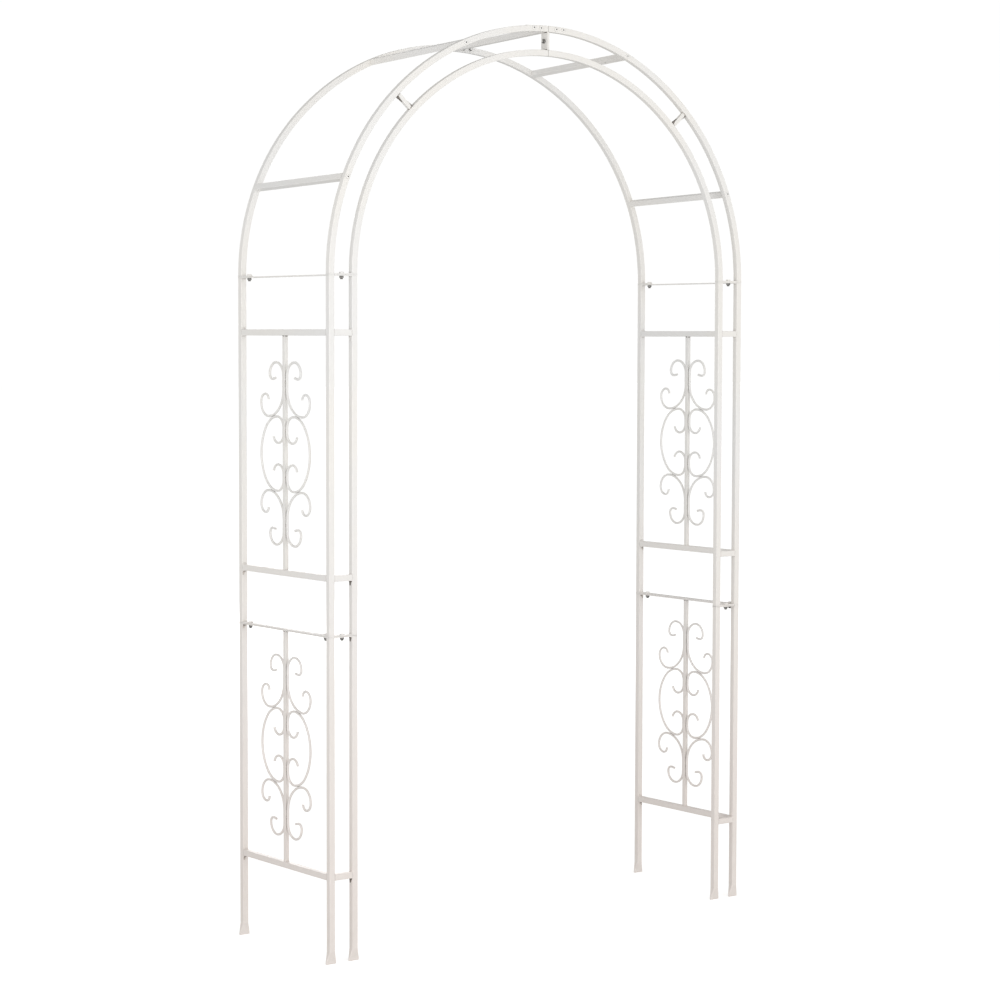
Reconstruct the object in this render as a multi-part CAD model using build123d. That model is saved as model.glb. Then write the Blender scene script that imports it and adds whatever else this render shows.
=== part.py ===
from build123d import *
from math import cos, radians, sin, sqrt
import os

os.makedirs("parts", exist_ok=True)

# Metal garden arch, bolted together from welded flat frames.
# Millimetres, real size. X runs across the opening, Y from the double front (-Y)
# to the single back (+Y), Z is up. The origin lies on the ground under the middle.

# --- tubes, bars and rods ---
TUBE = 15.0  # square tube, outer side
WALL = 1.0  # tube wall
CORNER = 1.5  # outer corner radius of the tube
FLAT = 3.0  # flat bar thickness
SLIM = 10.0  # square bar of the panel centres and arch struts
ROD = 6.0  # round rod of the scrolls

# --- overall layout ---
SPAN = 1285.0  # between the centres of the left and right outer posts
DEPTH = 391.0  # between the centres of the back and front posts
STEP_IN = 65.0  # outer front post to inner front post
LOWER_TOP = 783.0  # joint between the lower and upper side frames
UPPER_TOP = 1637.0  # joint between the upper side frames and the arch
BOTTOM_RAIL = 208.0  # rail heights, at their centre lines
LOW_RAIL = 921.0
HIGH_RAIL = 1501.0
LOWER_SCROLLS = 497.0  # heights of the middle of each set of scrolls
UPPER_SCROLLS = 1208.0

# --- arch ---
OUTER_RISE = 612.5  # arch foot to the tube centre line at the apex
INNER_RISE = 553.0
BACK_RISE = 598.0  # the back arch is a little lower, so the crossbars slope down to it
LOW_CROSSBAR = 22.5  # places along the arch, degrees up from level
HIGH_CROSSBAR = 67.5
APEX = 90.0
STRUT = 46.7
STRAP_LENGTH = 116.0  # strap that carries the apex crossbar across the seam
STRAP_SCREWS = (24.0, 46.0)  # distances of its screws from the seam
APEX_PLATE_WIDTH = 25.0
SEAM = 1.0  # gap between the tube ends where the arch halves meet

# --- feet: the tube is pinched flat to push into soil ---
FOOT_LENGTH = 30.0
FOOT_WIDTH = 28.0
FOOT_THICKNESS = 4.5
FOOT_TIP = 6.0  # straight part at the end of the pinch

# --- bolts joining the frames ---
BOLT = 6.0
BOLT_HOLE = 6.6
BOLT_HEAD = 12.0
BOLT_HEAD_HEIGHT = 3.6
NUT_SPAN = 10.0  # across flats
NUT_HEIGHT = 5.0
BOLT_TAIL = 3.0  # thread showing past the nut
BACK_BOLT_INSET = 34.0  # back post centre to the bolt beside it
FRONT_BOLT_INSET = 20.0  # outer front post centre to the bolt behind it

# --- screws that hold the crossbars, and the shape of every screw and bolt head ---
SCREW = 5.0
SCREW_HOLE = 5.4
SCREW_HEAD = 10.0
SCREW_HEAD_HEIGHT = 2.8
SCREW_NUT_SPAN = 8.0
SCREW_NUT_HEIGHT = 4.0
PLUG_LENGTH = 18.0  # threaded plug welded in each crossbar end
SCREW_IN_PLUG = 14.0
STRAP_SCREW_TAIL = 1.0
VENT_HOLE = 4.0  # drain and coating hole near the front end of each crossbar
VENT_INSET = 70.0
HEAD_ROUNDING = 0.45  # edge radius of a head, as a share of its height
SOCKET_DEPTH = 0.55  # depth of its hex socket, as a share of its height
SOCKET_WIDTH = 0.75  # corner to corner, as a share of the shank diameter

# --- scrolls, as bends of (radius, degrees) measured along the rod ---
TAIL_BENDS = ((67.0, 90.0), (34.0, 90.0), (20.0, 90.0), (14.0, 88.0))
CURL_BENDS = ((33.0, -90.0), (28.0, -90.0), (12.0, -90.0), (40.0, -20.0))
HOOK_BENDS = ((24.0, 90.0), (21.0, 75.0))
CURL_START = 188.0  # where the straight stem of an end scroll turns outward
HOOK_START = 50.0  # straight stem of the middle scroll along the centre bar
SHOULDER_START = 62.0
SHOULDER_REACH = 36.0  # distance of the middle scroll's crown from the centre line
CROWN_RADIUS = 62.0
CROWN_ANGLE = 50.0

HALF_SPAN = SPAN / 2
HALF_DEPTH = DEPTH / 2
HALF_TUBE = TUBE / 2
INNER_HALF_SPAN = HALF_SPAN - STEP_IN
APEX_Z = UPPER_TOP + FLAT + OUTER_RISE
BACK_APEX_Z = UPPER_TOP + FLAT + BACK_RISE
BORE = TUBE - 2 * WALL
GAP_IN = STEP_IN - TUBE  # clear gap between outer and inner front tubes
BAY = DEPTH - TUBE  # clear depth between back and front tubes
BACK_BOLT_Y = HALF_DEPTH - BACK_BOLT_INSET
FRONT_BOLT_Y = FRONT_BOLT_INSET - HALF_DEPTH
MIDDLE_BOLT_X = -HALF_SPAN + STEP_IN / 2


def tube_section():
    outline = RectangleRounded(TUBE, TUBE, CORNER)
    return outline - Rectangle(BORE, BORE)


def tube_along(direction, start, length):
    return extrude(Plane(origin=start, z_dir=direction) * tube_section(), amount=length)


def hole(centre, direction, diameter, length):
    plane = Plane(origin=centre, z_dir=direction)
    return plane * Cylinder(diameter / 2, length)


def post(x, y, bottom, top):
    return tube_along((0, 0, 1), (x, y, bottom), top - bottom)


def footed_post(x, y):
    """Lower post with its open end pinched flat across the arch."""
    upper = post(x, y, FOOT_LENGTH, LOWER_TOP - FLAT)
    root = Plane.XY.offset(FOOT_LENGTH) * RectangleRounded(TUBE, TUBE, CORNER)
    blade = RectangleRounded(FOOT_WIDTH, FOOT_THICKNESS, CORNER)
    pinch = loft([Plane.XY.offset(FOOT_TIP) * blade, root])
    tip = extrude(blade, amount=FOOT_TIP)
    return upper + Pos(x, y, 0) * (pinch + tip)


def side_rail(z):
    return tube_along((0, 1, 0), (-HALF_SPAN, -BAY / 2, z), BAY)


def short_rail(z):
    return tube_along((1, 0, 0), (-HALF_SPAN + HALF_TUBE, -HALF_DEPTH, z), GAP_IN)


def side_flat(z, bolts_y):
    """Flat bar over the back and outer front posts, z at its underside."""
    flat = Pos(-HALF_SPAN, 0, z + FLAT / 2) * Box(TUBE, DEPTH + TUBE, FLAT)
    for y in bolts_y:
        flat -= hole((-HALF_SPAN, y, z), (0, 0, 1), BOLT_HOLE, 4 * FLAT)
    return flat


def short_flat(z):
    """Flat bar from the outer front post to over the inner one."""
    start = -HALF_SPAN + HALF_TUBE
    flat = Pos(start + STEP_IN / 2, -HALF_DEPTH, z + FLAT / 2) * Box(STEP_IN, TUBE, FLAT)
    return flat - hole((MIDDLE_BOLT_X, -HALF_DEPTH, z), (0, 0, 1), BOLT_HOLE, 4 * FLAT)


def centre_bar(bottom, top):
    height = top - bottom
    bar = extrude(RectangleRounded(SLIM, SLIM, CORNER / 2), amount=height)
    return Pos(-HALF_SPAN, 0, bottom) * bar


# --- scrolls: drawn in a flat plane, first number outward from the centre bar ---
def bend_chain(start, heading, bends):
    """Tangent arcs, each (radius, degrees), turning left for positive angles."""
    chain = []
    for radius, angle in bends:
        arc = JernArc(start=start, tangent=heading, radius=radius, arc_size=angle)
        chain.append(arc)
        start = (arc @ 1).X, (arc @ 1).Y
        heading = (arc % 1).X, (arc % 1).Y
    return chain


def scroll_rod(edges):
    path = Wire(edges)
    section = Plane(origin=path @ 0, z_dir=path % 0) * Circle(ROD / 2)
    return sweep(section, path=path)


def end_scroll():
    """C-scroll at the end of a set; its tail rests on the middle scroll."""
    stem = SLIM / 2 + ROD / 2
    tail_radius = TAIL_BENDS[0][0]
    touch = tail_radius + CROWN_RADIUS + ROD
    across = stem + tail_radius - SHOULDER_REACH
    crown_centre = SHOULDER_START + SHOULDER_REACH - stem - CROWN_RADIUS
    tail_start = crown_centre + sqrt(touch**2 - across**2)
    tail = bend_chain((stem, tail_start), (0, -1), TAIL_BENDS)
    curl = bend_chain((stem, CURL_START), (0, 1), CURL_BENDS)
    return scroll_rod(tail + [Line((stem, tail_start), (stem, CURL_START))] + curl)


def middle_scroll():
    """Large C-scroll closed towards the centre bar, the same above and below."""
    stem = SLIM / 2 + ROD / 2
    hook = bend_chain((stem, HOOK_START), (0, -1), HOOK_BENDS)
    crown = ((SHOULDER_REACH - stem, -90.0), (CROWN_RADIUS, -CROWN_ANGLE))
    shoulder = bend_chain((stem, SHOULDER_START), (0, 1), crown)
    shoulder_end = shoulder[-1] @ 1
    side_angle = 90.0 - CROWN_ANGLE
    side_radius = shoulder_end.Y / sin(radians(side_angle))
    heading = (cos(radians(CROWN_ANGLE)), -sin(radians(CROWN_ANGLE)))
    side = bend_chain((shoulder_end.X, shoulder_end.Y), heading, ((side_radius, -side_angle),))
    upper = hook + [Line((stem, HOOK_START), (stem, SHOULDER_START))] + shoulder + side
    lower = [edge.mirror(Plane.XZ) for edge in upper]
    return scroll_rod(upper + lower)


def scroll_set(z):
    """Six scrolls on the left panel, mirrored about the centre bar and top to bottom."""
    end = end_scroll()
    quarter = [end, end.mirror(Plane.XZ), middle_scroll()]
    flat_set = quarter + [scroll.mirror(Plane.YZ) for scroll in quarter]
    panel = Plane(origin=(-HALF_SPAN, 0, z), x_dir=(0, 1, 0), z_dir=(1, 0, 0))
    return [panel * scroll for scroll in flat_set]


# --- arch tubes: two tangent arcs per half, tighter at the shoulder, flatter on top ---
def arch_radii(half_span, rise):
    total = half_span + rise
    change = (half_span - total / 2) / (1 / sqrt(2) - 1 / 2)
    return (total - change) / 2, (total + change) / 2


def arch_point(angle, half_span=HALF_SPAN, rise=OUTER_RISE):
    """Centre line point of the right half, as (x, z)."""
    shoulder, crown = arch_radii(half_span, rise)
    across, up = cos(radians(angle)), sin(radians(angle))
    if angle <= 45:
        return half_span - shoulder + shoulder * across, UPPER_TOP + FLAT + shoulder * up
    return crown * across, UPPER_TOP + FLAT + rise - crown + crown * up


def half_arch(section, half_span, rise, y):
    """Left half of an arch tube, from its foot to the apex."""
    shoulder, crown = arch_radii(half_span, rise)
    shoulder_axis = Axis((shoulder - half_span, y, UPPER_TOP + FLAT), (0, 1, 0))
    crown_axis = Axis((0, y, UPPER_TOP + FLAT + rise - crown), (0, 1, 0))
    foot = Plane(origin=(-half_span, y, UPPER_TOP + FLAT), z_dir=(0, 0, 1)) * section
    x, z = arch_point(45, half_span, rise)
    joint = Plane(origin=(-x, y, z), x_dir=(0, 1, 0), z_dir=(1, 0, 1)) * section
    return revolve(foot, shoulder_axis, 45) + revolve(joint, crown_axis, 45)


def crossbar_ends(angle):
    """Centre line points of a left crossbar, on the outer front arch and on the back arch."""
    x, z = arch_point(angle)
    back_x, back_z = arch_point(angle, rise=BACK_RISE)
    return Vector(-x, -HALF_DEPTH, z), Vector(-back_x, HALF_DEPTH, back_z)


def between_arches(section, angle, low_y, high_y):
    """Bar along a crossbar's centre line, turned with the arch and cut off square to Y."""
    front, back = crossbar_ends(angle)
    under = Vector(cos(radians(angle)), 0, -sin(radians(angle)))
    tangent = (back - front).cross(under)
    start = Plane(origin=front, x_dir=tangent, z_dir=back - front)
    bar = extrude(start * section, amount=(back - front).length)
    return bar & Pos(0, (low_y + high_y) / 2, APEX_Z) * Box(2 * SPAN, high_y - low_y, 2 * SPAN)


def crossbar(angle):
    """Square tube between the back arch and the outer front arch."""
    half = BAY / 2 - (FLAT if angle == APEX else 0)
    tube = between_arches(tube_section(), angle, -half, half)
    front, back = crossbar_ends(angle)
    under = Vector(cos(radians(angle)), 0, -sin(radians(angle)))
    vent = front + (back - front) * ((HALF_DEPTH - half + VENT_INSET) / DEPTH)
    return tube - hole(vent + under * HALF_TUBE, under, VENT_HOLE, TUBE)


def crossbar_plugs(angle):
    """Threaded plugs filling the crossbar tube at both ends, drilled square to the arches."""
    block = Rectangle(BORE, BORE)
    inner = BAY / 2 - PLUG_LENGTH
    front, back = crossbar_ends(angle)
    front_plug = between_arches(block, angle, -BAY / 2, -inner)
    back_plug = between_arches(block, angle, inner, BAY / 2)
    front_plug -= hole(front, (0, 1, 0), SCREW, 4 * PLUG_LENGTH)
    back_plug -= hole(back, (0, 1, 0), SCREW, 4 * PLUG_LENGTH)
    return solids_of(front_plug) + solids_of(back_plug)


# --- fasteners, built pointing up with the underside of the head or nut at z = 0 ---
def pan_head(diameter, height, shank, length):
    head = extrude(Circle(diameter / 2), amount=height)
    head = fillet(head.edges().group_by(Axis.Z)[-1], height * HEAD_ROUNDING)
    socket = RegularPolygon(shank * SOCKET_WIDTH / 2, 6)
    head -= Pos(0, 0, height) * extrude(socket, amount=-height * SOCKET_DEPTH)
    return head + extrude(Circle(shank / 2), amount=-length)


def hex_nut(span, height, bore):
    nut = extrude(RegularPolygon(span / sqrt(3), 6), amount=height)
    return nut - extrude(Circle(bore / 2), amount=height)


def frame_bolt(grip):
    return pan_head(BOLT_HEAD, BOLT_HEAD_HEIGHT, BOLT, grip + NUT_HEIGHT + BOLT_TAIL)


def crossbar_screw(length):
    return pan_head(SCREW_HEAD, SCREW_HEAD_HEIGHT, SCREW, length)


def mirrored(solids):
    return solids + [solid.mirror(Plane.YZ) for solid in solids]


def export(name, solids):
    shape = solids[0] if len(solids) == 1 else Compound(children=solids)
    export_step(shape, f"parts/{name}.step")


def solids_of(shape):
    return list(shape.solids())


# --- side frames, built on the left ---
front_y = -HALF_DEPTH
frames = {
    "lower_back_post": [footed_post(-HALF_SPAN, HALF_DEPTH)],
    "lower_outer_post": [footed_post(-HALF_SPAN, front_y)],
    "lower_inner_post": [footed_post(-INNER_HALF_SPAN, front_y)],
    "lower_bottom_rail": [side_rail(BOTTOM_RAIL)],
    "lower_top_flat": [side_flat(LOWER_TOP - FLAT, (BACK_BOLT_Y, FRONT_BOLT_Y))],
    "lower_centre_bar": [centre_bar(BOTTOM_RAIL + HALF_TUBE, LOWER_TOP - FLAT)],
    "lower_scrolls": scroll_set(LOWER_SCROLLS),
    "upper_back_post": [post(-HALF_SPAN, HALF_DEPTH, LOWER_TOP + FLAT, UPPER_TOP - FLAT)],
    "upper_outer_post": [post(-HALF_SPAN, front_y, LOWER_TOP + FLAT, UPPER_TOP - FLAT)],
    "upper_inner_post": [post(-INNER_HALF_SPAN, front_y, LOWER_TOP + FLAT, UPPER_TOP - FLAT)],
    "upper_base_flat": [side_flat(LOWER_TOP, (BACK_BOLT_Y, FRONT_BOLT_Y))],
    "upper_low_rail": [side_rail(LOW_RAIL)],
    "upper_high_rail": [side_rail(HIGH_RAIL)],
    "upper_top_flat": [side_flat(UPPER_TOP - FLAT, (BACK_BOLT_Y,))],
    "upper_centre_bar": [centre_bar(LOW_RAIL + HALF_TUBE, HIGH_RAIL - HALF_TUBE)],
    "upper_scrolls": scroll_set(UPPER_SCROLLS),
    "front_short_rails": [short_rail(z) for z in (BOTTOM_RAIL, LOW_RAIL, HIGH_RAIL)],
    "front_short_flats": [short_flat(z) for z in (LOWER_TOP - FLAT, LOWER_TOP, UPPER_TOP - FLAT)],
}

# --- arch halves, built on the left; the tubes are cut square, half a seam from the middle ---
right_side = Pos(HALF_SPAN - SEAM / 2, 0, APEX_Z) * Box(SPAN, 2 * DEPTH, 2 * SPAN)
outer_tube = half_arch(tube_section(), HALF_SPAN, OUTER_RISE, front_y) - right_side
inner_tube = half_arch(tube_section(), INNER_HALF_SPAN, INNER_RISE, front_y) - right_side
back_tube = half_arch(tube_section(), HALF_SPAN, BACK_RISE, HALF_DEPTH) - right_side

for angle in (LOW_CROSSBAR, HIGH_CROSSBAR):
    front, back = crossbar_ends(angle)
    outer_tube -= hole(front, (0, 1, 0), SCREW_HOLE, 2 * TUBE)
    back_tube -= hole(back, (0, 1, 0), SCREW_HOLE, 2 * TUBE)
for offset in STRAP_SCREWS:
    outer_tube -= hole((-offset, front_y, APEX_Z), (0, 1, 0), SCREW_HOLE, 2 * TUBE)
    back_tube -= hole((-offset, HALF_DEPTH, BACK_APEX_Z), (0, 1, 0), SCREW_HOLE, 2 * TUBE)

# Strut between the centre lines of the outer and inner tubes.
outer_x, outer_z = arch_point(STRUT)
inner_x, inner_z = arch_point(STRUT, INNER_HALF_SPAN, INNER_RISE)
strut_line = Vector(outer_x - inner_x, 0, inner_z - outer_z)
strut_end = Plane(origin=(-outer_x, front_y, outer_z), x_dir=(0, 1, 0), z_dir=strut_line)
strut_section = RectangleRounded(SLIM, SLIM, CORNER / 2)
strut = extrude(strut_end * strut_section, amount=strut_line.length)
for half_span, rise in ((HALF_SPAN, OUTER_RISE), (INNER_HALF_SPAN, INNER_RISE)):
    strut -= half_arch(Rectangle(TUBE, TUBE), half_span, rise, front_y)

flange_length = STEP_IN + TUBE
flange = Pos(MIDDLE_BOLT_X, front_y, UPPER_TOP + FLAT / 2) * Box(flange_length, TUBE, FLAT)
flange -= hole((MIDDLE_BOLT_X, front_y, UPPER_TOP), (0, 0, 1), BOLT_HOLE, 4 * FLAT)

# Tab with a round end, welded under each foot of the back arch.
tab_z = UPPER_TOP + FLAT / 2
tab_length = HALF_DEPTH + HALF_TUBE - BACK_BOLT_Y
tab = Pos(-HALF_SPAN, BACK_BOLT_Y + tab_length / 2, tab_z) * Box(TUBE, tab_length, FLAT)
tab += Pos(-HALF_SPAN, BACK_BOLT_Y, tab_z) * Cylinder(HALF_TUBE, FLAT)
tab -= hole((-HALF_SPAN, BACK_BOLT_Y, UPPER_TOP), (0, 0, 1), BOLT_HOLE, 4 * FLAT)

# Apex plate between the outer and inner tubes, flush with their front, deeper at the rear.
plate_top = APEX_Z - HALF_TUBE
plate_bottom = UPPER_TOP + FLAT + INNER_RISE + HALF_TUBE
plate_middle = (plate_top + plate_bottom) / 2
plate_y = front_y - HALF_TUBE + APEX_PLATE_WIDTH / 2
plate_height = plate_top - plate_bottom
apex_plate = Pos(-FLAT / 2, plate_y, plate_middle) * Box(FLAT, APEX_PLATE_WIDTH, plate_height)
for half_span, rise in ((HALF_SPAN, OUTER_RISE), (INNER_HALF_SPAN, INNER_RISE)):
    apex_plate -= half_arch(Rectangle(TUBE, TUBE), half_span, rise, front_y)
apex_plate -= hole((0, plate_y, plate_middle), (1, 0, 0), BOLT_HOLE, 4 * FLAT)

frames["arch_outer_tube"] = solids_of(outer_tube)
frames["arch_inner_tube"] = solids_of(inner_tube)
frames["arch_back_tube"] = solids_of(back_tube)
frames["arch_front_flange"] = solids_of(flange)
frames["low_crossbar"] = solids_of(crossbar(LOW_CROSSBAR))
frames["high_crossbar"] = solids_of(crossbar(HIGH_CROSSBAR))

for name, solids in frames.items():
    export(f"{name}_left", solids)
    export(f"{name}_right", [solid.mirror(Plane.YZ) for solid in solids])

# --- small arch pieces, left and right together ---
export("arch_struts", mirrored(solids_of(strut)))
export("arch_back_tabs", mirrored(solids_of(tab)))
export("apex_plates", mirrored(solids_of(apex_plate)))

# --- apex crossbar and its straps, on the middle plane ---
straps = []
for end, z in ((-1, APEX_Z), (1, BACK_APEX_Z)):
    y = end * (BAY / 2 - FLAT / 2)
    strap = Pos(0, y, z) * Box(STRAP_LENGTH, FLAT, TUBE)
    for offset in STRAP_SCREWS:
        strap -= hole((offset, y, z), (0, 1, 0), SCREW_HOLE, 4 * FLAT)
        strap -= hole((-offset, y, z), (0, 1, 0), SCREW_HOLE, 4 * FLAT)
    straps.append(strap)
export("apex_crossbar", solids_of(crossbar(APEX)))
export("apex_straps", straps)

plugs = crossbar_plugs(LOW_CROSSBAR) + crossbar_plugs(HIGH_CROSSBAR)
export("crossbar_plugs", mirrored(plugs))

# --- frame bolts and nuts ---
two_flats = 2 * FLAT
bolts = []
nuts = []
for seam in (LOWER_TOP, UPPER_TOP):
    places = [(-HALF_SPAN, BACK_BOLT_Y), (MIDDLE_BOLT_X, front_y)]
    if seam == LOWER_TOP:
        places.append((-HALF_SPAN, FRONT_BOLT_Y))
    for x, y in places:
        bolts.append(Pos(x, y, seam + FLAT) * frame_bolt(two_flats))
        nuts.append(Pos(x, y, seam - FLAT - NUT_HEIGHT) * hex_nut(NUT_SPAN, NUT_HEIGHT, BOLT))
apex_bolt_plane = Plane(origin=(FLAT, plate_y, plate_middle), z_dir=(1, 0, 0))
apex_nut_plane = Plane(origin=(-FLAT - NUT_HEIGHT, plate_y, plate_middle), z_dir=(1, 0, 0))
export("frame_bolts", mirrored(bolts) + [apex_bolt_plane * frame_bolt(two_flats)])
export("frame_nuts", mirrored(nuts) + [apex_nut_plane * hex_nut(NUT_SPAN, NUT_HEIGHT, BOLT)])

# --- crossbar and strap screws, heads on the front and rear faces of the arches ---
strap_screw_length = TUBE + FLAT + SCREW_NUT_HEIGHT + STRAP_SCREW_TAIL
crossbar_screws = []
strap_screws = []
strap_nuts = []
for outward, apex_z in ((-1, APEX_Z), (1, BACK_APEX_Z)):
    head_plane_y = outward * (HALF_DEPTH + HALF_TUBE)
    for angle in (LOW_CROSSBAR, HIGH_CROSSBAR):
        point = crossbar_ends(angle)[0 if outward < 0 else 1]
        seat = Plane(origin=(point.X, head_plane_y, point.Z), z_dir=(0, outward, 0))
        crossbar_screws.append(seat * crossbar_screw(TUBE + SCREW_IN_PLUG))
    for offset in STRAP_SCREWS:
        seat = Plane(origin=(-offset, head_plane_y, apex_z), z_dir=(0, outward, 0))
        nut_y = outward * (BAY / 2 - FLAT - SCREW_NUT_HEIGHT)
        nut_seat = Plane(origin=(-offset, nut_y, apex_z), z_dir=(0, outward, 0))
        strap_screws.append(seat * crossbar_screw(strap_screw_length))
        strap_nuts.append(nut_seat * hex_nut(SCREW_NUT_SPAN, SCREW_NUT_HEIGHT, SCREW))
export("crossbar_screws", mirrored(crossbar_screws))
export("strap_screws", mirrored(strap_screws))
export("strap_nuts", mirrored(strap_nuts))
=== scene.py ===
"""Looks of the garden arch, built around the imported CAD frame. Metres, Z up."""
import math
import random

import bmesh
import bpy
import numpy as np
from mathutils import Matrix, Vector
from mathutils.kdtree import KDTree


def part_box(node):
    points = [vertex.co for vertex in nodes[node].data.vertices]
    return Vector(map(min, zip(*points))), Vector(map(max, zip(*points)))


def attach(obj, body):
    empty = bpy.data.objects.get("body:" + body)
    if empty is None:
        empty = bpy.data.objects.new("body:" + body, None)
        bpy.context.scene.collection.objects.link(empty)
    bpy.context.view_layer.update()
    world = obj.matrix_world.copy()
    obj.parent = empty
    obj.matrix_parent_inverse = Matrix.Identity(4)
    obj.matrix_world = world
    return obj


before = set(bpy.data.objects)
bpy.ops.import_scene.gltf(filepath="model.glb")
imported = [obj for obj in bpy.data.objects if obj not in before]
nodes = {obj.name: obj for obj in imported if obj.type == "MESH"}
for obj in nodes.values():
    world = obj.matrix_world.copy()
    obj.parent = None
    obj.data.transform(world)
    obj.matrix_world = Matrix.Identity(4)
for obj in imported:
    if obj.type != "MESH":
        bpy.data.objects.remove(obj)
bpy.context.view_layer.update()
dice = random.Random(7)

MM = 0.001
X, Y, Z = Vector((1, 0, 0)), Vector((0, 1, 0)), Vector((0, 0, 1))


# --- node materials ---
class Graph:
    """A material's node tree; inputs are given by name or index, as values or as sockets."""

    def __init__(self, tree):
        self.tree = tree
        tree.nodes.clear()

    def node(self, kind, inputs=None, **settings):
        made = self.tree.nodes.new("ShaderNode" + kind)
        for name, value in settings.items():
            setattr(made, name, value)
        for key, value in (inputs or {}).items():
            socket = made.inputs[key]
            if isinstance(value, bpy.types.NodeSocket):
                self.tree.links.new(value, socket)
            else:
                socket.default_value = value
        return made

    def math(self, operation, first, second):
        return self.node("Math", {0: first, 1: second}, operation=operation).outputs[0]

    def remap(self, value, low, high, to_low=0.0, to_high=1.0):
        """Smooth step of value from low..high to to_low..to_high."""
        inputs = {"Value": value, 1: low, 2: high, 3: to_low, 4: to_high}
        return self.node("MapRange", inputs, interpolation_type="SMOOTHSTEP").outputs[0]

    def noise(self, place, scale, detail=2.0, roughness=0.5):
        inputs = {"Vector": place, "Scale": scale, "Detail": detail, "Roughness": roughness}
        return self.node("TexNoise", inputs).outputs[0]

    def mix(self, share, first, second):
        """Colour between first and second."""
        return self.node("Mix", {0: share, 6: first, 7: second}, data_type="RGBA").outputs[2]


def new_material(name):
    material = bpy.data.materials.new(name)
    material.use_nodes = True
    return material, Graph(material.node_tree)


def shade(graph, color, roughness, normal, **fixed):
    """Principled surface; fixed holds further inputs by name, with _ for each space."""
    inputs = {"Base Color": color, "Roughness": roughness, "Normal": normal}
    inputs.update({key.replace("_", " "): value for key, value in fixed.items()})
    surface = graph.node("BsdfPrincipled", inputs)
    graph.node("OutputMaterial", {"Surface": surface.outputs[0]})


DUST = (0.50, 0.43, 0.35, 1.0)
THIN_COAT = (0.60, 0.585, 0.56, 1.0)
# Crevice colour: grime, and painted shade in the corners.
GRIME_AND_SHADE = (0.20, 0.175, 0.15, 1.0)
BARE_WELD = (0.075, 0.062, 0.052, 1.0)
PLATING_STAIN = (0.16, 0.12, 0.09, 1.0)


def tinted(tone, red, green, blue):
    """Opaque colour, tone with each channel scaled."""
    return (tone[0] * red, tone[1] * green, tone[2] * blue, 1.0)


def white_coat(name, tone, gloss, peel, lumps, grime_and_shade=(0.62, 0.18, 0.62), bare=0.0):
    """Powder coat: orange peel, dust nibs, thin greyer edges, grime and painted shade in crevices, dusty
    feet.

    gloss is the lowest roughness; peel and lumps are how strong the fine and the broad relief are.
    grime_and_shade is the range of openness over which crevices darken with grime and painted shade,
    and how far; bare, from 0 to 1, is how much of the surface the powder missed, so that dark weld metal
    shows.
    """
    material, g = new_material(name)
    place = g.node("TexCoord").outputs["Object"]
    cloudy = g.noise(place, 3.5, 3.0)
    mottled = g.noise(place, 70.0, 3.0)
    warm, cool = tinted(tone, 1.0, 0.985, 0.965), tinted(tone, 0.985, 0.985, 0.99)
    color = g.mix(g.remap(cloudy, 0.35, 0.65), warm, cool)
    faint = g.remap(mottled, 0.4, 0.75, 0.0, 0.12)
    color = g.mix(faint, color, tinted(tone, 0.86, 0.85, 0.82))

    # Warmer towards the ground, and dust that settles on the lowest stretch of the legs.
    height = g.node("SeparateXYZ", {0: place}).outputs[2]
    blush = g.remap(height, 0.1, 1.3, 1.0, 0.0)
    color = g.mix(blush, color, tinted(tone, 0.945, 0.885, 0.86))
    low = g.remap(height, 0.0, 0.42, 1.0, 0.0)
    dust = g.math("MULTIPLY", low, g.remap(g.noise(place, 38.0, 5.0, 0.65), 0.35, 0.7, 0.02, 0.12))
    color = g.mix(dust, color, DUST)

    # Coat thins on sharp edges.
    bevel = g.node("Bevel", {"Radius": 1.3 * MM}, samples=4).outputs[0]
    plain = g.node("NewGeometry").outputs["Normal"]
    turn = g.node("VectorMath", {0: bevel, 1: plain}, operation="DOT_PRODUCT").outputs["Value"]
    edge = g.remap(turn, 0.995, 0.88, 0.0, 1.0)
    rubbed = g.math("MULTIPLY", edge, g.remap(g.noise(place, 160.0, 4.0, 0.7), 0.42, 0.62, 0.08, 0.4))
    color = g.mix(rubbed, color, THIN_COAT)

    # Crevices hold grime and take less powder; their ambient-occlusion darkening is also painted shade.
    open_sky = g.node("AmbientOcclusion", {"Distance": 7 * MM}, samples=6).outputs["AO"]
    crevice = g.remap(open_sky, grime_and_shade[0], grime_and_shade[1], 0.0, grime_and_shade[2])
    color = g.mix(crevice, color, GRIME_AND_SHADE)
    if bare:
        patches = g.noise(place, 330.0, 3.0, 0.6)
        missed = g.remap(patches, 0.66 - 0.35 * bare, 0.54 - 0.35 * bare, 1.0, 0.0)
        missed = g.math("MULTIPLY", missed, g.remap(open_sky, 0.95, 0.6, 0.35, 1.0))
        color = g.mix(missed, color, BARE_WELD)

    roughness = g.remap(mottled, 0.3, 0.7, gloss, gloss + 0.12)
    roughness = g.math("ADD", roughness, g.math("MULTIPLY", rubbed, 0.3))
    fine = g.noise(place, 620.0, 2.0, 0.45)
    nibs = g.node("TexVoronoi", {"Vector": place, "Scale": 95.0}).outputs["Distance"]
    nib = g.remap(nibs, 0.09, 0.02, 0.0, 1.0)
    wavy = g.noise(place, 110.0, 2.0)
    relief = g.math("ADD", g.math("MULTIPLY", fine, peel), g.math("MULTIPLY", nib, peel * 0.9))
    relief = g.math("ADD", relief, g.math("MULTIPLY", wavy, lumps))
    normal = g.node("Bump", {"Height": relief, "Distance": 0.2 * MM, "Strength": 1.0}).outputs[0]
    shade(g, color, roughness, normal, Specular_IOR_Level=0.5)
    return material


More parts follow.
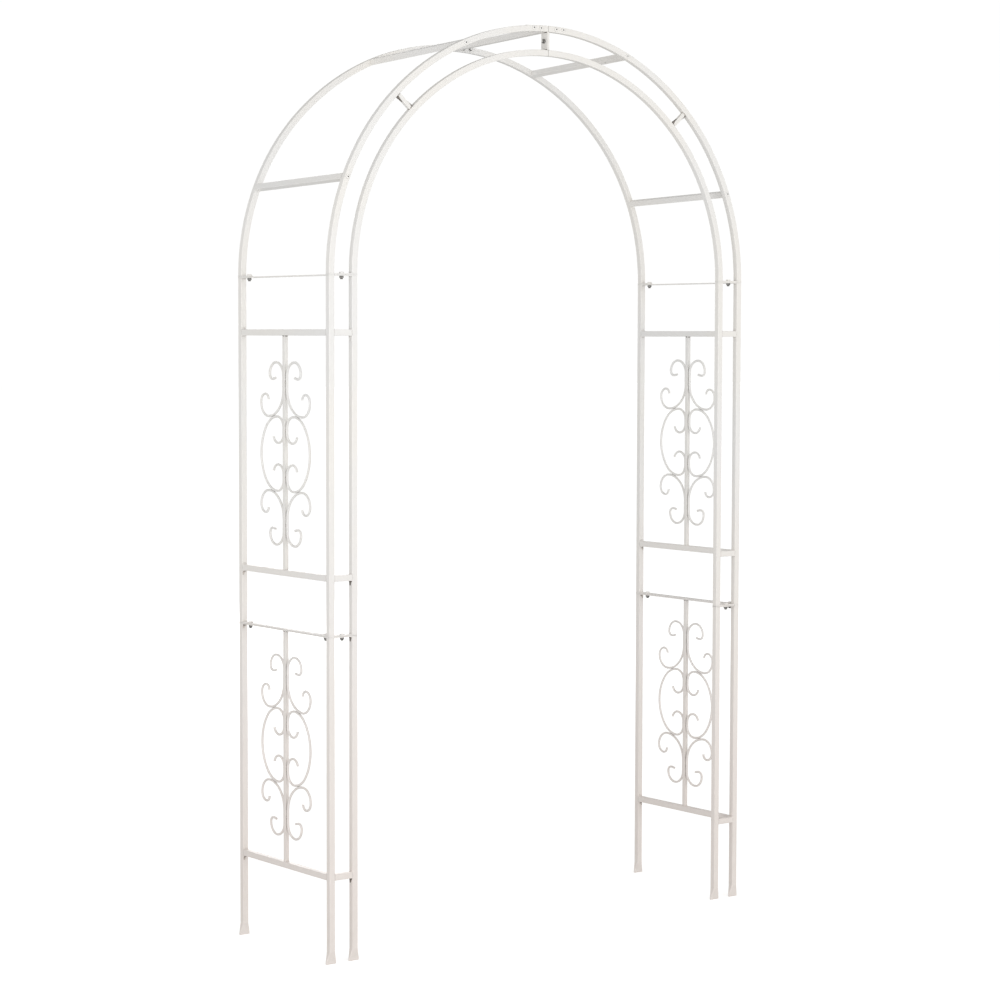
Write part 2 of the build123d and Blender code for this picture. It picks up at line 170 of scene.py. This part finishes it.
def zinc(name, tone, scratch_scale):
    """Dull plated steel with spangle, fine scratches and dark stains."""
    material, g = new_material(name)
    place = g.node("TexCoord").outputs["Object"]
    spangle = g.node("TexVoronoi", {"Vector": place, "Scale": 900.0}).outputs["Color"]
    spangle = g.node("SeparateXYZ", {0: spangle}).outputs[0]
    dull, clean = tinted(tone, 0.72, 0.72, 0.72), tinted(tone, 1.0, 1.0, 1.0)
    color = g.mix(g.remap(spangle, 0.2, 0.9), dull, clean)
    stain = g.remap(g.noise(place, 240.0, 4.0, 0.7), 0.5, 0.68, 0.0, 0.5)
    color = g.mix(stain, color, PLATING_STAIN)
    stretched = g.node("Mapping", {"Vector": place, "Scale": (1.0, 1.0, 9.0)}).outputs[0]
    scratch = g.noise(stretched, scratch_scale, 3.0, 0.6)
    roughness = g.remap(scratch, 0.3, 0.7, 0.32, 0.58)
    normal = g.node("Bump", {"Height": scratch, "Distance": 0.05 * MM, "Strength": 0.6}).outputs[0]
    shade(g, color, roughness, normal, Metallic=1.0)
    return material


COAT = white_coat("powder_coat", (0.86, 0.85, 0.83), gloss=0.30, peel=0.22, lumps=0.20)
ROD_COAT = white_coat("rod_powder_coat", (0.84, 0.835, 0.82), gloss=0.30, peel=0.42, lumps=0.75)
# Welds get stronger grime and painted shade in their corners.
WELD_COAT = white_coat(
    "weld_powder_coat", (0.82, 0.80, 0.775), gloss=0.34, peel=0.55, lumps=0.95, grime_and_shade=(0.9, 0.35, 0.7)
)
# Greyish welds, darker than the coat, with some bare weld metal.
GREYISH_WELD = white_coat(
    "greyish_weld", (0.74, 0.69, 0.64), gloss=0.36, peel=0.6, lumps=1.0, grime_and_shade=(0.95, 0.45, 0.75), bare=0.35
)
# Dark burnt welds; their darkness is also painted shadow under the rails and on the struts' shaded sides.
SCORCH_AND_SHADE = white_coat(
    "scorch_and_shade_weld", (0.36, 0.33, 0.30), gloss=0.40, peel=0.7, lumps=1.0, grime_and_shade=(0.95, 0.5, 0.85), bare=1.0
)
HEAD_PAINT = white_coat("head_paint", (0.86, 0.855, 0.84), gloss=0.26, peel=0.35, lumps=0.30)
ZINC = zinc("zinc", (0.36, 0.355, 0.345), scratch_scale=500.0)
# Dark steel in the sockets, which also paints the shade in their recesses.
SOCKET_STEEL_AND_SHADE = zinc("socket_steel_and_shade", (0.10, 0.095, 0.09), scratch_scale=650.0)

PLATE_WORDS = ("flat", "flange", "tabs", "plates", "straps")
PLATE_EDGE = 0.5 * MM  # edge radius of cut plates and of the nuts
SCREWS = ("frame_bolts", "crossbar_screws", "strap_screws")
NUTS = ("frame_nuts", "strap_nuts")


def material_of(name):
    if "scrolls" in name:
        return ROD_COAT
    if name in SCREWS:
        return HEAD_PAINT
    return ZINC if name in NUTS or name == "crossbar_plugs" else COAT


def round_edges(piece):
    """Small radius on the sharp edges of a plate or nut, with flat faces between."""
    piece.modifiers.new("weld", "WELD").merge_threshold = 0.001 * MM
    rounded = piece.modifiers.new("rounded", "BEVEL")
    rounded.width = PLATE_EDGE
    rounded.segments = 3
    rounded.limit_method = "ANGLE"
    rounded.angle_limit = math.radians(35)
    if "custom_normal" in piece.data.attributes:
        piece.data.attributes.remove(piece.data.attributes["custom_normal"])
    piece.data.shade_flat()


for name, piece in nodes.items():
    if not piece.material_slots:
        piece.data.materials.append(None)
    for part in piece.material_slots:
        part.material = material_of(name)
    if name in NUTS or any(word in name for word in PLATE_WORDS):
        round_edges(piece)


# --- solids inside the CAD nodes ---
def solid_points(name):
    """Vertex positions of each separate solid of a CAD node."""
    work = bmesh.new()
    work.from_mesh(nodes[name].data)
    bmesh.ops.remove_doubles(work, verts=work.verts, dist=0.001 * MM)
    work.verts.ensure_lookup_table()
    seen = set()
    solids = []
    for first in work.verts:
        if first.index in seen:
            continue
        seen.add(first.index)
        front, island = [first], []
        while front:
            vertex = front.pop()
            island.append(tuple(vertex.co))
            for edge in vertex.link_edges:
                other = edge.other_vert(vertex)
                if other.index not in seen:
                    seen.add(other.index)
                    front.append(other)
        solids.append(np.array(island))
    work.free()
    return solids


def solid_boxes(name):
    return [(Vector(points.min(0)), Vector(points.max(0))) for points in solid_points(name)]


def new_object(name, points, faces, material, sealed=False):
    """Smooth mesh object in the scene; a sealed skin gets its faces turned outward."""
    mesh = bpy.data.meshes.new(name)
    mesh.from_pydata([tuple(p) for p in points], [], faces)
    if sealed:
        work = bmesh.new()
        work.from_mesh(mesh)
        bmesh.ops.recalc_face_normals(work, faces=work.faces)
        work.to_mesh(mesh)
        work.free()
    mesh.shade_smooth()
    mesh.materials.append(material)
    made = bpy.data.objects.new(name, mesh)
    bpy.context.scene.collection.objects.link(made)
    return made


def add_piece(name, points, faces, material):
    """Mesh piece that rides on the arch."""
    piece = new_object(name, points, faces, material)
    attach(piece, "root")


# --- weld beads ---
TUBE = (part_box("upper_low_rail_left")[1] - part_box("upper_low_rail_left")[0]).z
RIPPLE = 1.9 * MM  # spacing of the ripples along a bead
RING_STEP = 0.45 * MM
BURIED = 0.35 * MM  # how far a bead reaches into the metal
SHORT_LEG = 3.2 * MM  # leg lengths of the fillets, named by the member they hold
FRONT_LEG = 3.4 * MM
BACK_LEG = 4.6 * MM
POST_LEG = 2.8 * MM
BAR_BASE_LEG = 2.3 * MM
BAR_HEAD_LEG = 2.6 * MM
PLATE_LEG = 2.6 * MM
STRUT_EDGE_LEG = 2.6 * MM
STRUT_FACE_LEG = 2.0 * MM
UNDER_RAIL_LEG = 4.2 * MM
BACK_POST_RAIL_LEG = 4.4 * MM
SEAM_WIDTH = 3.4 * MM
SEAM_HEIGHT = 0.32 * MM


class Beads:
    """Collects weld beads into one mesh piece."""

    def __init__(self, material=WELD_COAT):
        self.points, self.faces = [], []
        self.material = material

    def skin(self, rings):
        """Joins rings of points into a closed skin, capped at both ends."""
        base, size = len(self.points), len(rings[0])
        for ring in rings:
            self.points.extend(ring)
        for i in range(len(rings) - 1):
            for j in range(size):
                a, b = base + i * size + j, base + i * size + (j + 1) % size
                self.faces.append((a, b, b + size, a + size))
        self.faces.append(tuple(base + j for j in reversed(range(size))))
        last = base + (len(rings) - 1) * size
        self.faces.append(tuple(last + j for j in range(size)))

    def fillet(self, start, end, first, second, leg):
        """Rippled fillet bead along an inner corner; first and second are the two faces' normals."""
        start, end = Vector(start), Vector(end)
        along = end - start
        count = max(6, int(along.length / RING_STEP))
        phase = dice.random() * math.tau
        rings = []
        for i in range(count + 1):
            share = i / count
            swell = 0.86 + 0.14 * abs(math.sin(math.pi * share * along.length / RIPPLE + phase))
            swell *= 1 + 0.10 * math.sin(5.3 * share + phase) + dice.uniform(-0.025, 0.025)
            end_fade = min(1.0, share * along.length / leg, (1 - share) * along.length / leg)
            size = leg * swell * math.sqrt(max(end_fade * (2 - end_fade), 0.02))
            middle = start + along * share
            ring = [middle - (first + second) * BURIED]
            for k in range(7):
                turn = math.radians(15 * k)
                bulge = size * (1 - 0.30 * math.sin(2 * turn))
                ring.append(
                    middle + first * (bulge * math.cos(turn) - BURIED * math.sin(turn))
                    + second * (bulge * math.sin(turn) - BURIED * math.cos(turn))
                )
            rings.append(ring)
        self.skin(rings)

    def seam(self, start, end, normal, width, height):
        """Low ridge along a flush joint, where two faces meet in one plane."""
        start, end = Vector(start), Vector(end)
        along = end - start
        side = along.normalized().cross(normal)
        count = max(6, int(along.length / RING_STEP))
        phase = dice.random() * math.tau
        rings = []
        for i in range(count + 1):
            share = i / count
            swell = 0.8 + 0.2 * abs(math.sin(math.pi * share * along.length / RIPPLE + phase))
            swell *= 1 + dice.uniform(-0.05, 0.05)
            fade = math.sqrt(max(0.03, min(1.0, 6 * share, 6 * (1 - share))))
            drift = 0.12 * width * math.sin(7 * share + phase)
            middle = start + along * share + side * drift
            ring = []
            for k in range(9):
                turn = math.pi * k / 8
                ring.append(
                    middle + side * (0.5 * width * fade * math.cos(turn))
                    + normal * (height * swell * fade * math.sin(turn) - 0.05 * MM)
                )
            rings.append(ring)
        self.skin(rings)

    def lump(self, centre, axis, length, radius):
        """Small tack weld, a rippled grain along axis."""
        axis = Vector(axis).normalized()
        first = axis.orthogonal().normalized()
        second = axis.cross(first)
        count = max(8, int(length / (0.7 * RING_STEP)))
        phase = dice.random() * math.tau
        rings = []
        for i in range(count + 1):
            share = i / count
            body = math.sqrt(max(0.02, 1 - (2 * share - 1) ** 2))
            size = radius * body * (0.9 + 0.1 * abs(math.sin(math.pi * share * length / RIPPLE + phase)))
            middle = Vector(centre) + axis * (share - 0.5) * length
            ring = [
                middle + (first * math.cos(math.tau * k / 8) + second * math.sin(math.tau * k / 8)) * size
                for k in range(8)
            ]
            rings.append(ring)
        self.skin(rings)

    def member_end(self, low, high, axis, end, corners, flush=(), leg=SHORT_LEG):
        """Welds round one end of a box-shaped member; corners and flush name its sides, as "+x"."""
        reach = 1.2 * MM  # the tube's rounded corners stay bare
        outward = axis * (1 if end > 0 else -1)
        centre = (low + high) / 2
        half = (high - low) / 2
        tip = centre + outward * abs(half.dot(axis))
        for name in (*corners, *flush):
            normal = {"x": X, "y": Y, "z": Z}[name[1]] * (1 if name[0] == "+" else -1)
            across = outward.cross(normal)
            edge = tip + normal * abs(half.dot(normal))
            span = across * (abs(half.dot(across)) - reach)
            if name in corners:
                self.fillet(edge - span, edge + span, normal, -outward, leg * dice.uniform(0.9, 1.12))
            else:
                self.seam(edge - span, edge + span, normal, SEAM_WIDTH, SEAM_HEIGHT)

    def build(self, name, mirror=False):
        """Makes the piece; mirror adds the same beads on the other side of the arch."""
        points, faces = list(self.points), list(self.faces)
        if mirror:
            base = len(points)
            points += [Vector((-p.x, p.y, p.z)) for p in self.points]
            faces += [tuple(base + i for i in reversed(face)) for face in self.faces]
        piece = new_object(name, points, faces, self.material, sealed=True)
        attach(piece, "root")


def shaded_weld_under(beads, low, high):
    """Heavy weld under a short rail or flat on the inner post, trailing down; when dark, painted shadow of
    the rail.
    """
    start, end = (high.x, low.y + 2 * MM, low.z), (high.x, high.y - 1.5 * MM, low.z)
    beads.fillet(start, end, -X, -Z, UNDER_RAIL_LEG)
    for inset, drop, slant, length, radius in (
        (6.5, 5.5, (0, -0.12, 1), 13, 2.9), (8.8, 3.0, (0, -0.5, 1), 8, 2.3), (4.2, 2.8, (0, 0.4, 1), 7, 2.2)
    ):
        at = (high.x, high.y - inset * MM, low.z - drop * MM)
        beads.lump(at, slant, length * MM, radius * MM)


def greyish_weld_under(beads, low, high):
    """Grey weld under a rail, on the back post's face, trailing down the post's outer half."""
    start, end = (low.x + 1.5 * MM, high.y, low.z), (high.x - 3 * MM, high.y, low.z)
    beads.fillet(start, end, -Y, -Z, BACK_POST_RAIL_LEG)
    for inset, drop, slant, length, radius in (
        (4.0, 5.0, (0.25, 0, 1), 12, 2.4), (7.0, 2.5, (0.8, 0, 0.6), 8, 2.2)
    ):
        at = (low.x + inset * MM, high.y, low.z - drop * MM)
        beads.lump(at, slant, length * MM, radius * MM)


def weld_rails():
    """Both ends of the side rails, and the grey welds that trail down the back post under them."""
    for level, rail in (("lower", "bottom_rail"), ("upper", "low_rail"), ("upper", "high_rail")):
        beads = Beads()
        low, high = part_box(f"{level}_{rail}_left")
        for end, leg in ((-1, FRONT_LEG), (1, BACK_LEG)):
            beads.member_end(low, high, Y, end, ("+z", "-z"), ("+x", "-x"), leg)
        beads.build(f"{level}_{rail}_welds", mirror=True)

    beads = Beads(GREYISH_WELD)
    for node in ("lower_bottom_rail_left", "upper_low_rail_left"):
        greyish_weld_under(beads, *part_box(node))
    flat_low, flat_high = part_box("lower_top_flat_left")
    post_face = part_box("lower_back_post_left")[0].y
    greyish_weld_under(beads, flat_low, Vector((flat_high.x, post_face, flat_high.z)))
    beads.build("rail_greyish_welds", mirror=True)


def weld_short_rails():
    """Front short rails and flats; dark welds paint the shadow under them, but not under the highest rail.
    """
    beads, dark_beads = Beads(), Beads(SCORCH_AND_SHADE)
    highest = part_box("upper_high_rail_left")[0].z
    for low, high in solid_boxes("front_short_rails_left"):
        beads.member_end(low, high, X, -1, ("+z", "-z"), ("+y", "-y"))
        beads.member_end(low, high, X, 1, ("+z",), ("+y", "-y"))
        shaded_weld_under(dark_beads if low.z < highest else beads, low, high)
    inner_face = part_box("upper_inner_post_left")[0].x
    joint_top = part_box("lower_top_flat_left")[1].z
    for low, high in solid_boxes("front_short_flats_left"):
        if low.z <= joint_top:
            shaded_weld_under(dark_beads, low, Vector((inner_face, high.y, high.z)))
    beads.build("front_short_rail_welds", mirror=True)
    dark_beads.build("front_short_scorch_and_shade_welds", mirror=True)


def weld_posts():
    """Post ends under or over the flat bars."""
    for level, end in (("lower", 1), ("upper", -1), ("upper", 1)):
        beads = Beads()
        for post, corners in (("back_post", ("-y",)), ("outer_post", ("+y", "+x")), ("inner_post", ("-x",))):
            low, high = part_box(f"{level}_{post}_left")
            # The box of a lower post takes in its foot, which is wider than the tube.
            middle = (low.x + high.x) / 2
            low.x, high.x = middle - TUBE / 2, middle + TUBE / 2
            beads.member_end(low, high, Z, end, corners, leg=POST_LEG)
        place = "head" if end > 0 else "base"
        beads.build(f"{level}_post_{place}_welds", mirror=True)


def weld_centre_bars():
    """Painted welds at the foot of each centre bar, burnt ones at its head, also painted shade under the
    rail.
    """
    for level in ("lower", "upper"):
        beads = Beads()
        low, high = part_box(f"{level}_centre_bar_left")
        beads.member_end(low, high, Z, -1, ("+y", "-y", "+x", "-x"), leg=BAR_BASE_LEG)
        beads.build(f"{level}_centre_bar_base_welds", mirror=True)
        beads = Beads(SCORCH_AND_SHADE)
        beads.member_end(low, high, Z, 1, ("+y", "-y", "+x", "-x"), leg=BAR_HEAD_LEG)
        beads.build(f"{level}_centre_bar_head_welds", mirror=True)


def weld_scrolls():
    """Tack welds where scrolls lie along the centre bar and where they touch each other."""
    for level in ("lower", "upper"):
        beads = Beads(GREYISH_WELD)
        bar_low, bar_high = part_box(f"{level}_centre_bar_left")
        scrolls = solid_points(f"{level}_scrolls_left")
        middle_x = (bar_low.x + bar_high.x) / 2
        for points in scrolls:
            side = 1 if points[:, 1].mean() > 0 else -1
            face = bar_high.y if side > 0 else bar_low.y
            near = points[abs(points[:, 1] - face) < 0.06 * MM]
            if not len(near):
                continue
            touch = np.sort(near[:, 2])
            gap = np.flatnonzero(np.diff(touch) > 40 * MM)
            for stretch in np.split(touch, gap + 1):
                z = (stretch[0] + stretch[-1]) / 2
                for out in (-1, 1):
                    at = (middle_x + out * 2.3 * MM, face + side * 0.9 * MM, z)
                    beads.lump(at, Z, 11 * MM * dice.uniform(0.85, 1.15), 1.25 * MM)
        for i, points in enumerate(scrolls):
            tree = KDTree(len(points))
            for k, point in enumerate(points):
                tree.insert(point, k)
            tree.balance()
            for other in scrolls[i + 1:]:
                touching = [p for p in other if tree.find(p)[2] < 0.35 * MM]
                if not touching:
                    continue
                at = np.mean(touching, axis=0)
                ends = np.ptp(np.array(touching)[:, 1:], axis=0)
                along = Vector((0, ends[0], ends[1])) if max(ends) > 0.5 * MM else Y
                for out in (-1, 1):
                    beads.lump((middle_x + out * 1.9 * MM, at[1], at[2]), along, 6 * MM, 1.3 * MM)
        beads.build(f"{level}_scroll_tacks", mirror=True)


def joint_lines():
    """Dark line of shadow and dirt where two plates meet, set back inside their rounded edges."""
    base_low, base_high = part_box("upper_base_flat_left")
    short_low, short_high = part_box("front_short_flats_left")
    flange_low, flange_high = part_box("arch_front_flange_left")
    tab_low, tab_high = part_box("arch_back_tabs")
    lower_seam, upper_seam = base_low.z, flange_low.z
    recess, half = 0.22 * MM, 0.3 * MM
    spans = [
        (base_low, base_high, lower_seam, recess),
        (short_low, short_high, lower_seam, -0.02 * MM),
        (flange_low, flange_high, upper_seam, recess),
        (tab_low + Y * TUBE / 2, Vector((tab_low.x + TUBE, tab_high.y, 0)), upper_seam, recess),
    ]
    points, faces = [], []
    for low, high, seam, inset in spans:
        for mirror in (1, -1):
            base = len(points)
            for z in (seam - half, seam + half):
                for x, y in ((low.x, low.y), (high.x, low.y), (high.x, high.y), (low.x, high.y)):
                    x += inset if x == low.x else -inset
                    y += inset if y == low.y else -inset
                    points.append((x * mirror, y, z))
            faces += [(base + i, base + (i + 1) % 4, base + 4 + (i + 1) % 4, base + 4 + i) for i in range(4)]
    add_piece("plate_joint_lines", points, faces, SCORCH_AND_SHADE)


def weld_arch_feet():
    """The hoops' tubes on their flanges and tabs."""
    beads = Beads()
    low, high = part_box("arch_front_flange_left")
    foot_top = high.z + 20 * MM
    outer = (Vector((low.x, low.y, high.z)), Vector((low.x + TUBE, high.y, foot_top)))
    inner = (Vector((high.x - TUBE, low.y, high.z)), Vector((high.x, high.y, foot_top)))
    beads.member_end(*outer, Z, -1, ("+x",), leg=POST_LEG)
    beads.member_end(*inner, Z, -1, ("-x",), leg=POST_LEG)
    tab_low, tab_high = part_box("arch_back_tabs")
    back = (
        Vector((tab_low.x, tab_high.y - TUBE, tab_high.z)),
        Vector((tab_low.x + TUBE, tab_high.y, foot_top)),
    )
    beads.member_end(*back, Z, -1, ("-y",), leg=POST_LEG)
    beads.build("arch_foot_welds", mirror=True)


def weld_struts():
    """Both ends of the slanted bar, on its front, rear and two edges."""
    beads, dark_beads = Beads(GREYISH_WELD), Beads(SCORCH_AND_SHADE)
    strut = min(solid_points("arch_struts"), key=lambda points: points[:, 0].mean())
    centre = strut.mean(0)
    spread = np.linalg.eigh(np.cov((strut - centre).T))[1][:, -1]
    axis = Vector(spread).normalized()
    centre = Vector(centre)
    width = Y * (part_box("arch_struts")[1].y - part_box("arch_struts")[0].y) / 2
    edge = axis.cross(Y).normalized()
    half = max(abs((Vector(p) - centre).dot(axis)) for p in strut)
    for end in (-1, 1):
        tip = centre + axis * end * (half - 1.1 * MM)
        for out in (-1, 1):
            corner = tip + edge * out * width.length
            beads.fillet(corner - width * 0.8, corner + width * 0.8, edge * out, -axis * end, STRUT_EDGE_LEG)
            corner = tip + width * out
            span = edge * width.length * 0.75
            beads.fillet(corner - span, corner + span, width.normalized() * out, -axis * end, STRUT_FACE_LEG)
        # Excess weld: on the upper end it sits below the strut, on the lower end above it; its dark colour
        # is also painted shade.
        heavy = edge if (tip.z > centre.z) == (edge.z < 0) else -edge
        for step, radius in ((2.5, 3.6), (7.5, 3.1), (13.0, 2.2), (18.0, 1.4)):
            at = tip - axis * end * step * MM + heavy * (width.length - 0.4 * MM)
            dark_beads.lump(at - Y * 2.2 * MM, axis, 9 * MM, radius * MM)
            dark_beads.lump(at + Y * 2.0 * MM, axis, 7 * MM, radius * MM)
    beads.build("strut_welds", mirror=True)
    dark_beads.build("strut_scorch_and_shade_welds", mirror=True)


def weld_apex_plates():
    """Lower and upper ends of the plates at the crown, on the faces turned away from its middle."""
    beads = Beads(SCORCH_AND_SHADE)
    low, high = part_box("apex_plates")
    rear = low.y + TUBE
    for z, toward in ((low.z, Z), (high.z, -Z)):
        for x, outward in ((low.x, -X), (high.x, X)):
            beads.fillet((x, low.y + MM, z), (x, rear - MM, z), outward, toward, PLATE_LEG)
    beads.build("apex_plate_welds")


# --- fasteners: dark sockets in the heads, steel and painted shade, and thread on the tails ---
HEX = 6
THREAD_SIDES = 28
RINGS_PER_TURN = 6
THREAD_HEIGHT = 0.34 * MM


def screw_frame(points):
    """Axis towards the head, a point on it, and distances of the vertices along and from it."""
    size = np.ptp(points, axis=0)
    centre = (points.max(0) + points.min(0)) / 2
    gaps = [abs(size[(i + 1) % 3] - size[(i + 2) % 3]) for i in range(3)]
    axis = np.zeros(3)
    axis[int(np.argmin(gaps))] = 1.0
    along = (points - centre) @ axis
    around = np.linalg.norm(points - centre - np.outer(along, axis), axis=1)
    if along[around > 0.98 * around.max()].mean() < 0:
        axis, along = -axis, -along
    return centre, axis, along, around


def socket_liners(node):
    """Dark steel cup just inside each hex socket; its darkness is also painted shade in the recess."""
    points, faces = [], []
    for solid in solid_points(node):
        base = len(points)
        centre, axis, along, around = screw_frame(solid)
        corner = around < 1.02 * around.min()
        for level in (along[corner].min() + 0.05 * MM, along[corner].max() - 0.25 * MM):
            ring = solid[corner & (along == along[corner].min())]
            ring = ring - centre - np.outer((ring - centre) @ axis, axis)
            side = np.cross(axis, ring[0])
            ring = sorted(ring, key=lambda p: math.atan2(p @ side, p @ ring[0]))
            points += [centre + axis * level + p * 0.985 for p in ring]
        faces.append(tuple(base + i for i in range(HEX)))
        for i in range(HEX):
            a, b = base + i, base + (i + 1) % HEX
            faces.append((a, b, b + HEX, a + HEX))
    add_piece(f"{node}_sockets", points, faces, SOCKET_STEEL_AND_SHADE)


def threads(node, pitch, reach):
    """Helical ridges on the end of each shank, out to reach from the tip."""
    points, faces = [], []
    levels = int(reach / pitch * RINGS_PER_TURN)
    for solid in solid_points(node):
        centre, axis, along, around = screw_frame(solid)
        tip = along.min()
        radius = around[along < tip + 0.01 * MM].max()
        side = Vector(axis).orthogonal().normalized()
        other = Vector(axis).cross(side)
        base = len(points)
        for i in range(levels + 1):
            rise = reach * i / levels
            for j in range(THREAD_SIDES):
                phase = (rise / pitch - j / THREAD_SIDES) % 1.0
                ridge = 1 - abs(2 * phase - 1)
                taper = min(1.0, (rise + 0.15 * MM) / (0.5 * MM))
                r = radius + 0.02 * MM + THREAD_HEIGHT * ridge * taper
                angle = math.tau * j / THREAD_SIDES
                points.append(
                    Vector(centre) + Vector(axis) * (tip + rise)
                    + (side * math.cos(angle) + other * math.sin(angle)) * r
                )
        for i in range(levels):
            for j in range(THREAD_SIDES):
                a = base + i * THREAD_SIDES + j
                b = base + i * THREAD_SIDES + (j + 1) % THREAD_SIDES
                faces.append((a, b, b + THREAD_SIDES, a + THREAD_SIDES))
    add_piece(f"{node}_threads", points, faces, ZINC)


for node in SCREWS:
    socket_liners(node)
threads("frame_bolts", pitch=1.0 * MM, reach=3.2 * MM)
threads("strap_screws", pitch=0.8 * MM, reach=1.2 * MM)

weld_rails()
weld_short_rails()
weld_posts()
weld_centre_bars()
weld_scrolls()
weld_arch_feet()
weld_struts()
weld_apex_plates()
joint_lines()


# --- camera at the viewing angle, and soft studio light ---
CAMERA_AT = Vector((-4.0527, -5.3594, 1.4919))
CAMERA_YAW = math.radians(37.145)  # from +Y towards +X
CAMERA_PITCH = math.radians(3.555)  # downwards
CAMERA_ROLL = math.radians(0.149)
CAMERA_LENS = 94.58  # in millimetres, on a sensor 36 mm wide

camera = bpy.data.objects.new("camera", bpy.data.cameras.new("camera"))
bpy.context.scene.collection.objects.link(camera)
ahead = Vector((
    math.sin(CAMERA_YAW) * math.cos(CAMERA_PITCH),
    math.cos(CAMERA_YAW) * math.cos(CAMERA_PITCH),
    -math.sin(CAMERA_PITCH),
))
level = Vector((math.cos(CAMERA_YAW), -math.sin(CAMERA_YAW), 0))
above = level.cross(ahead)
right = level * math.cos(CAMERA_ROLL) + above * math.sin(CAMERA_ROLL)
up = above * math.cos(CAMERA_ROLL) - level * math.sin(CAMERA_ROLL)
axes = Matrix((right, up, -ahead)).transposed().to_4x4()
camera.matrix_world = Matrix.Translation(CAMERA_AT) @ axes
camera.data.sensor_width = 36.0
camera.data.lens = CAMERA_LENS
camera.data.clip_end = 200.0
bpy.context.scene.camera = camera
bpy.context.scene.view_settings.view_transform = "Standard"

BACKDROP = 1.02  # brightness of the plain white that the camera sees behind the arch
world = bpy.data.worlds.new("studio")
bpy.context.scene.world = world
world.use_nodes = True
g = Graph(world.node_tree)
direction = g.node("TexCoord").outputs["Generated"]
lean = g.node("VectorMath", {0: direction, 1: (0.0, -0.15, -0.08)}, operation="DOT_PRODUCT")
ambient = g.math("ADD", lean.outputs["Value"], 0.66)
path = g.node("LightPath")
# Reflections see a dim studio with a brighter band a little above the horizon.
height = g.node("SeparateXYZ", {0: direction}).outputs[2]
band = g.math("MULTIPLY", g.remap(height, 0.02, 0.25, 0.2, 0.7), g.remap(height, 0.27, 0.4, 1.0, 0.0))
mirrored = g.math("MAXIMUM", band, g.math("MULTIPLY", ambient, 0.5))
glossy = path.outputs["Is Glossy Ray"]
ambient = g.math("MULTIPLY", ambient, g.math("SUBTRACT", 1.0, glossy))
ambient = g.math("ADD", ambient, g.math("MULTIPLY", mirrored, glossy))
backdrop = g.math("MULTIPLY", path.outputs["Is Camera Ray"], BACKDROP)
strength = g.math("MAXIMUM", ambient, backdrop)
sky = g.node("Background", {"Color": (1.0, 0.998, 0.992, 1.0), "Strength": strength})
g.node("OutputWorld", {"Surface": sky.outputs[0]})


def soft_light(name, at, aim, size, power, color=(1.0, 1.0, 1.0)):
    """Rectangular light of power watts, hidden from the camera."""
    lamp = bpy.data.lights.new(name, "AREA")
    lamp.shape = "RECTANGLE"
    lamp.size, lamp.size_y = size
    lamp.energy = power
    lamp.color = color
    holder = bpy.data.objects.new(name, lamp)
    bpy.context.scene.collection.objects.link(holder)
    holder.location = at
    holder.rotation_euler = (Vector(aim) - Vector(at)).to_track_quat("-Z", "Y").to_euler()
    holder.visible_camera = False


WARM, COOL = (1.0, 0.99, 0.975), (0.98, 0.99, 1.0)
soft_light("key", at=(0.2, -4.2, 1.7), aim=(0, 0, 1.1), size=(2.6, 2.0), power=42, color=WARM)
soft_light("fill", at=(-4.4, -1.6, 1.3), aim=(-0.6, 0, 1.3), size=(2.4, 2.4), power=50, color=COOL)
soft_light("top", at=(0, -0.5, 8.0), aim=(0, 0, 0), size=(5.0, 5.0), power=35)
# The sheen on the rails' tops comes from behind.
soft_light("rear", at=(3.0, 7.0, 2.6), aim=(0, 0, 1.1), size=(3.0, 3.0), power=80)

floor_mesh = bpy.data.meshes.new("floor")
far = 60.0
corners = [(-far, -far, 0), (far, -far, 0), (far, far, 0), (-far, far, 0)]
floor_mesh.from_pydata(corners, [], [(0, 1, 2, 3)])
floor = bpy.data.objects.new("floor", floor_mesh)
bpy.context.scene.collection.objects.link(floor)
floor.visible_diffuse = False
floor.visible_glossy = False
material, g = new_material("pale_floor")
place = g.node("TexCoord").outputs["Object"]
grain = g.noise(place, 40.0, 3.0)
tone = g.mix(g.remap(grain, 0.3, 0.7), (0.95, 0.95, 0.945, 1.0), (0.965, 0.965, 0.96, 1.0))
normal = g.node("Bump", {"Height": grain, "Distance": 0.2 * MM, "Strength": 0.2}).outputs[0]
# The glow keeps the far floor, which catches less light, as white as the floor near the arch.
distance = g.node("VectorMath", {0: place}, operation="LENGTH").outputs["Value"]
glow = g.remap(distance, 0.0, 10.0, 0.34, 0.52)
roughness = g.remap(grain, 0.3, 0.7, 0.75, 0.85)
shade(
    g, tone, roughness, normal, Specular_IOR_Level=0.2,
    Emission_Color=(1.0, 1.0, 0.995, 1.0), Emission_Strength=glow,
)
floor_mesh.materials.append(material)
